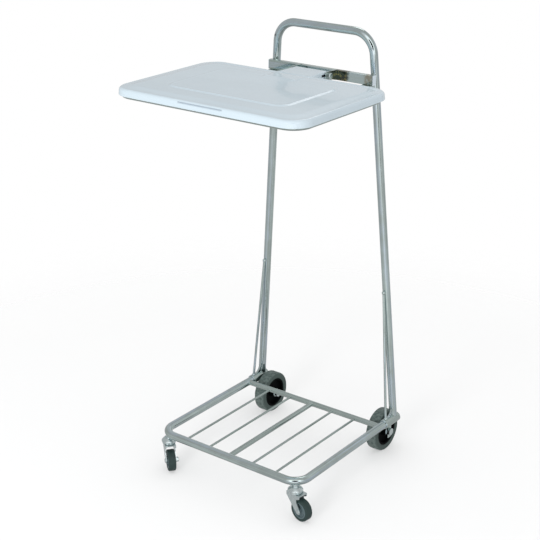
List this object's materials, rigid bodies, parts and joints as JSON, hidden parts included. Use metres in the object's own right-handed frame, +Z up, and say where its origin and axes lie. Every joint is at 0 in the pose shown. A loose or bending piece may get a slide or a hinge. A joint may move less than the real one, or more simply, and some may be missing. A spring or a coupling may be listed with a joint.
{
  "type": "bag holder stand",
  "caption": "Wheeled stand of chromed tube that holds a bag open: a wire-floored tray, uprights with a handle, a bag ring and a hinged plastic lid.",
  "frame": {"origin": "on the floor, at the middle of the stand's outline", "axes": "+Z up, +X to the right as seen from the front, -Y towards the front, where the swivel casters and the lid's free edge are"},
  "size_m": [0.48, 0.5, 0.997],
  "materials": {
    "chrome_tube": "bright chrome plate, slightly hazy",
    "zinc_steel": "bright zinc plate",
    "lid_plastic": "bluish white, soft gloss",
    "plug_plastic": "pale, soft gloss",
    "tyre_rubber": "grey green rubber, matt",
    "hub_black": "black, matt",
    "caster_rubber": "dark grey green, matt",
    "caster_hub_plastic": "grey, satin"
  },
  "bodies": {
    "frame": {"axle_bolt_left": "zinc_steel", "axle_bolt_right": "zinc_steel", "axle_nut_left": "zinc_steel", "axle_nut_right": "zinc_steel", "axle_plate_left": "chrome_tube", "axle_plate_right": "chrome_tube", "axle_washers_left": "zinc_steel", "axle_washers_right": "zinc_steel", "bag_ring": "chrome_tube", "bar_plug_left": "plug_plastic", "bar_plug_right": "plug_plastic", "base_tube": "chrome_tube", "caster_bush_left": "zinc_steel", "caster_bush_right": "zinc_steel", "caster_cap_left": "zinc_steel", "caster_cap_right": "zinc_steel", "caster_stem_left": "zinc_steel", "caster_stem_right": "zinc_steel", "centre_bar": "chrome_tube", "foot_gusset_left": "chrome_tube", "foot_gusset_right": "chrome_tube", "hinge_bar": "chrome_tube", "hinge_bracket": "chrome_tube", "hinge_nut": "zinc_steel", "hinge_pin": "zinc_steel", "rear_cross_bar": "chrome_tube", "ring_arms": "chrome_tube", "sleeve_cap_left": "chrome_tube", "sleeve_cap_right": "chrome_tube", "sleeve_left": "chrome_tube", "sleeve_right": "chrome_tube", "stay_rod_left": "chrome_tube", "stay_rod_right": "chrome_tube", "tray_wires": "chrome_tube", "upright_handle": "chrome_tube"},
    "lid": {"lid": "lid_plastic"},
    "rear_wheel_left": {"rear_tyre_left": "tyre_rubber", "rear_hub_left": "hub_black"},
    "caster_left": {"caster_fork_left": "zinc_steel", "caster_axle_left": "zinc_steel", "caster_nut_left": "zinc_steel"},
    "caster_wheel_left": {"caster_tyre_left": "caster_rubber", "caster_hub_left": "caster_hub_plastic"},
    "rear_wheel_right": {"rear_tyre_right": "tyre_rubber", "rear_hub_right": "hub_black"},
    "caster_right": {"caster_fork_right": "zinc_steel", "caster_axle_right": "zinc_steel", "caster_nut_right": "zinc_steel"},
    "caster_wheel_right": {"caster_tyre_right": "caster_rubber", "caster_hub_right": "caster_hub_plastic"}
  },
  "joints": [
    {"name": "lid_hinge", "type": "hinge", "parent": "frame", "child": "lid", "pos_m": [0, 0.126, 0.8948], "axis": [-1, 0, 0], "range_deg": [0, 106]},
    {"name": "rear_wheel_left_spin", "type": "hinge", "parent": "frame", "child": "rear_wheel_left", "pos_m": [-0.165, 0.2, 0.05], "axis": [1, 0, 0], "continuous": true},
    {"name": "caster_left_swivel", "type": "hinge", "parent": "frame", "child": "caster_left", "pos_m": [-0.18016, -0.16787, 0.06], "axis": [0, 0, 1], "continuous": true},
    {"name": "caster_wheel_left_spin", "type": "hinge", "parent": "caster_left", "child": "caster_wheel_left", "pos_m": [-0.16462, -0.18046, 0.025], "axis": [0.6293, 0.7771, 0], "continuous": true},
    {"name": "rear_wheel_right_spin", "type": "hinge", "parent": "frame", "child": "rear_wheel_right", "pos_m": [0.165, 0.2, 0.05], "axis": [1, 0, 0], "continuous": true},
    {"name": "caster_right_swivel", "type": "hinge", "parent": "frame", "child": "caster_right", "pos_m": [0.18016, -0.16787, 0.06], "axis": [0, 0, 1], "continuous": true},
    {"name": "caster_wheel_right_spin", "type": "hinge", "parent": "caster_right", "child": "caster_wheel_right", "pos_m": [0.19986, -0.17134, 0.025], "axis": [0.1736, 0.9848, 0], "continuous": true}
  ]
}
